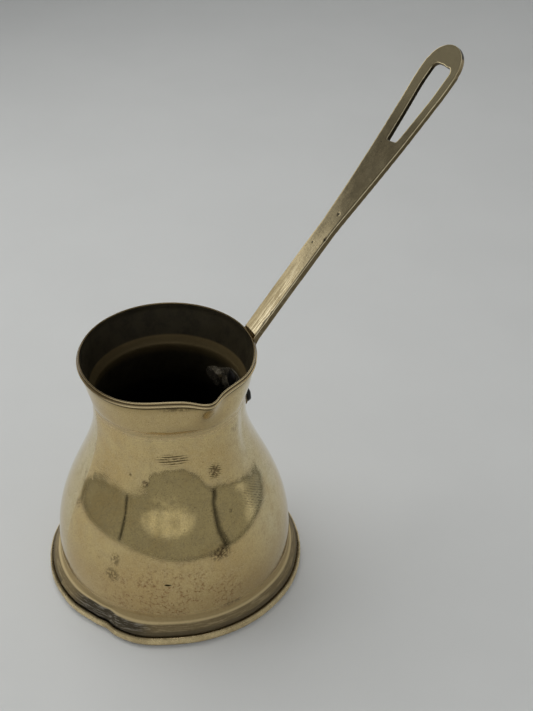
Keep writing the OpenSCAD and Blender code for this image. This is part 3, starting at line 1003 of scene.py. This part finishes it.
def strap_streaks(s, station):
    """Filed streaks near the pot, with painted highlights as bright streaks on one half and painted
    shade on the other.
    """
    low_end = s.step(station, 48.0, 12.0)
    # Painted shade over one half of the strap near the pot.
    painted_shade_half = s.times(low_end, s.step(s.y, -1.5, 2.0))
    s.coat(painted_shade_half, (0.32, 0.25, 0.13), 0.55)
    along = s.node("CombineXYZ", {0: s.times(station, 0.09), 1: s.y}).outputs[0]
    streaks = s.noise(1.1, 4.0, 0.7, place=along)
    s.coat(s.times(low_end, s.step(streaks, 0.46, 0.60)), (0.26, 0.19, 0.09), 0.55)
    # Painted highlights: bright streaks on the other half.
    painted_highlight_half = s.times(low_end, s.step(s.y, 2.2, -1.6))
    s.coat(s.times(painted_highlight_half, s.step(streaks, 0.54, 0.40)), (1.0, 0.86, 0.58), 0.9)


def cast_brass():
    """Filed casting: stained and grainy, with painted shade on its sides and in its slot, and painted
    highlights on its edges.
    """
    s = Surface("cast_brass_filed", (0.66, 0.545, 0.32), Metallic=1.0)
    slope = math.radians(STRAP_SLOPE)
    station = s.plus(s.times(s.minus(s.x, STRAP_START[0]), math.cos(slope)),
                     s.times(s.minus(s.z, STRAP_START[1]), math.sin(slope)))
    normal = s.node("NewGeometry").outputs["Normal"]
    facing = s.node("VectorMath", {0: normal, 1: (-math.sin(slope), 0.0, math.cos(slope))},
                    operation="DOT_PRODUCT").outputs["Value"]
    facing = s.math("ABSOLUTE", facing)
    side = s.step(facing, 0.6, 0.3)
    in_slot = s.times(s.step(station, 86.0, 88.0), s.step(s.away(s.y, 0.0), 6.3, 6.0))
    strap_tones(s, station)
    strap_streaks(s, station)
    # Painted shade: the side faces are darkened, and the slot's sides almost to black.
    s.coat(side, (0.13, 0.095, 0.05), 0.85)
    s.coat(s.times(side, in_slot), (0.03, 0.024, 0.014))
    # Painted highlight: a bright line along each edge, except near the slot's end.
    arris_highlight = s.band(facing, 0.72, 0.27)
    far = s.step(s.away(station, SLOT_END), 2.0, 4.0)
    s.coat(s.times(arris_highlight, far), (0.97, 0.85, 0.58), 0.9)
    ragged = s.times(s.times(in_slot, s.step(far, 1.0, 0.0)), s.step(facing, 0.99, 0.93))
    s.coat(ragged, (0.10, 0.075, 0.04), 0.9)
    s.rough = s.step(s.noise(4.0), 0.3, 0.7, 0.08, 0.15)
    s.roughen(side, 0.25)
    s.roughen(arris_highlight, 0.4)
    long_scratches = s.noise(1.0, 3.0, 0.6, place=s.stretched(1.0, 0.12, 1.0))
    cross_scratches = s.noise(0.5, 2.0, 0.6, place=s.stretched(0.2, 1.0, 0.2))
    height = s.plus(long_scratches, s.times(cross_scratches, 0.6))
    filed = s.times(s.step(station, 45.0, 20.0), 2.5)
    return s.finish(s.plus(height, s.times(filed, s.noise(0.9, 4.0, 0.7))), 0.006)


def hammered_iron():
    s = Surface("rivet_iron_hammered", (0.035, 0.034, 0.034), Metallic=0.8)
    s.coat(s.step(s.noise(1.6, 4.0, 0.7), 0.5, 0.72), (0.025, 0.015, 0.010))
    s.rough = s.step(s.noise(0.8, 3.0, 0.6), 0.3, 0.7, 0.3, 0.55)
    return s.finish(s.noise(0.7), 0.05)


def dull_tin():
    s = Surface("tin_dull", (0.36, 0.32, 0.24), Metallic=0.85)
    s.coat(s.step(s.noise(2.4, 5.0, 0.7), 0.4, 0.66), (0.13, 0.11, 0.08))
    s.rough = s.step(s.noise(1.5), 0.3, 0.7, 0.16, 0.30)
    return s.finish(s.noise(1.0), 0.01)


def pale_floor():
    s = Surface("studio_floor", Metallic=0.0, Roughness=0.75, Specular_IOR_Level=0.2)
    colour = s.mix(s.step(s.noise(60.0, 3.0, 0.5), 0.3, 0.7), (0.65, 0.66, 0.65), (0.665, 0.675, 0.665))
    s.tree.links.new(colour, s.shader.inputs["Base Color"])
    return s.material


# ------------------------ stage

CAMERA_AT = (-166.2, -405.3, 428.7)
CAMERA_TURN = 27.3
CAMERA_DOWN = 36.51
CAMERA_ROLL = 0.39
CAMERA_LENS = 71.4

# Where the dim room's wall stands on the floor, its height and its brightness
ROOM_WALL = [(235, 60), (225, -150), (110, -285), (-60, -305),
             (-310, -300), (-430, -200), (-440, -120), (-330, 25), (-190, 120), (-150, 200)]
ROOM_H = 150.0
ROOM_LEVEL = 0.285

# The wall's glow: angle and height of its middle, and how far it reaches each way
GLOW_AT = (-117.0, 116.0)
GLOW_HALF = (36.0, 56.0)

# Brightness of the surroundings: low all round, and overhead in front and at the back.
# The change is between these two angles above the horizon.
SKY_LOW, SKY_FRONT, SKY_BACK = 0.95, 0.26, 0.16
SKY_EDGE = (17.5, 20.5)


def make_camera():
    data = bpy.data.cameras.new("camera")
    data.lens = CAMERA_LENS
    data.sensor_width = 36.0
    data.clip_start = 0.01
    camera = add_object("camera", data)
    camera.location = Vector(CAMERA_AT) * MM
    turned = Euler((math.radians(90.0 - CAMERA_DOWN), 0.0, math.radians(-CAMERA_TURN)))
    roll = Matrix.Rotation(math.radians(CAMERA_ROLL), 3, "Z")
    camera.rotation_euler = (turned.to_matrix() @ roll).to_euler()
    bpy.context.scene.camera = camera


def make_floor():
    size = 3.0
    mesh = bpy.data.meshes.new("floor")
    mesh.from_pydata([(-size, -size, 0), (size, -size, 0), (size, size, 0), (-size, size, 0)],
                     [], [(0, 1, 2, 3)])
    floor = add_object("floor", mesh)
    floor.data.materials.append(pale_floor())


def room_light():
    """The wall's light: a glow in front, a smaller one low on the right, and dark lines."""
    s = Surface("room_light")
    s.tree.nodes.remove(s.shader)
    streak = s.noise(20.0, 4.0, 0.7, place=s.stretched(0.4, 0.4, 1.6))
    streak = s.step(streak, 0.42, 0.54, 0.3, 1.0)
    off_side = s.math("POWER", s.times(s.minus(s.angle, GLOW_AT[0]), 1 / GLOW_HALF[0]), 2.0)
    off_top = s.math("POWER", s.times(s.minus(s.z, GLOW_AT[1]), 1 / GLOW_HALF[1]), 2.0)
    glow = s.step(s.plus(off_side, off_top), 1.0, 0.35)
    level = s.plus(ROOM_LEVEL, s.times(s.times(glow, streak), 0.34))
    small_glow = s.times(s.band(s.angle, -35.0, 11.0), s.band(s.z, 20.0, 18.0))
    level = s.plus(level, s.times(s.times(small_glow, streak), 0.35))
    front = s.step(s.y, -250.0, -270.0)
    right = s.plus(s.x, s.times(s.math("MINIMUM", s.z, 50.0), 0.48))
    left = s.band(s.plus(s.y, s.times(s.z, 0.25)), -124.0, 18.0)
    for line, strength in ((s.times(left, s.step(s.x, -340.0, -360.0)), 1.0),
                           (s.times(s.band(right, 118.0, 15.0), front), 1.0),
                           (s.times(s.band(right, 132.0, 7.0), front), 0.8),
                           (s.step(s.z, 9.0, 3.0), 0.55),
                           (s.step(s.z, ROOM_H - 11.0, ROOM_H - 4.0), 0.5)):
        level = s.times(level, s.minus(1.0, s.times(line, strength)))
    emission = s.node("Emission", {"Color": (0.98, 1.0, 0.93, 1.0), "Strength": level})
    s.tree.links.new(emission.outputs[0], s.tree.nodes["Material Output"].inputs["Surface"])
    return s.material


def make_room():
    """A low curved wall round the front of the table, which only reflections see."""
    points = [(x, y, z) for x, y in ROOM_WALL for z in (0.0, ROOM_H)]
    faces = [(2 * i, 2 * i + 2, 2 * i + 3, 2 * i + 1) for i in range(len(ROOM_WALL) - 1)]
    room = make_mesh("room", points, faces)
    room.data.polygons.foreach_set("use_smooth", [False] * len(faces))
    room.data.materials.append(room_light())
    room.visible_camera = False
    room.visible_diffuse = False
    room.visible_transmission = False
    room.visible_shadow = False


def make_light(name, at, aim, size, power):
    data = bpy.data.lights.new(name, "AREA")
    data.shape = "SQUARE"
    data.size = size * MM
    data.energy = power
    data.color = (1.0, 0.995, 0.98)
    light = add_object(name, data)
    light.location = Vector(at) * MM
    light.rotation_euler = (Vector(aim) - Vector(at)).to_track_quat("-Z", "Y").to_euler()
    return light


def make_lights():
    """A soft light overhead, and a broad fill from the back left that throws no shadow."""
    make_light("softbox", (-20.0, 40.0, 1600.0), (0.0, 0.0, 0.0), 500.0, 1.0)
    fill = make_light("fill", (-340.0, 371.0, 950.0), (-26.0, -2704.0, 0.0), 1200.0, 9.6)
    fill.data.use_shadow = False
    fill.visible_glossy = False


def make_world():
    """Even studio surroundings: brighter near the horizon and dimmer above, most at the back."""
    world = bpy.data.worlds.new("studio")
    bpy.context.scene.world = world
    world.use_nodes = True
    sky = Nodes(world.node_tree)
    way = sky.node("SeparateXYZ", {0: sky.node("TexCoord").outputs["Generated"]}).outputs
    above = sky.step(way[1], -0.3, 0.3, SKY_FRONT, SKY_BACK)
    low, high = (math.sin(math.radians(a)) for a in SKY_EDGE)
    background = world.node_tree.nodes["Background"]
    background.inputs["Color"].default_value = (0.98, 0.99, 1.0, 1.0)
    world.node_tree.links.new(sky.step(way[2], low, high, SKY_LOW, above),
                              background.inputs["Strength"])


# ------------------------ assembly

def place(obj, node, slot, *materials):
    """Gives a piece its materials, hides its CAD node and puts it on the root body. The slot is not
    used.
    """
    for material in materials:
        obj.data.materials.append(material)
    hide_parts(node)
    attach(obj, "root")


def main():
    make_camera()
    iron, tin = hammered_iron(), dull_tin()
    place(make_body(), "vessel_body", "sheet_brass", polished_brass(), tarnished_inside())
    place(make_tray(), "base_plate", "base_brass", tray_brass())
    place(make_solder(), "seam_solder", "solder", tin)
    place(make_handle(), "handle", "cast_brass", cast_brass())
    place(make_inner_plate(), "backing_plate", "tinned_plate", tin)
    for number, (name, height) in enumerate(RIVET_HEIGHTS.items()):
        place(make_rivet(name + "_iron", height, SEED + 11 * number), name, "rivet_iron", iron)
    make_floor()
    make_room()
    make_lights()
    make_world()
    bpy.context.scene.view_settings.view_transform = "Standard"


main()
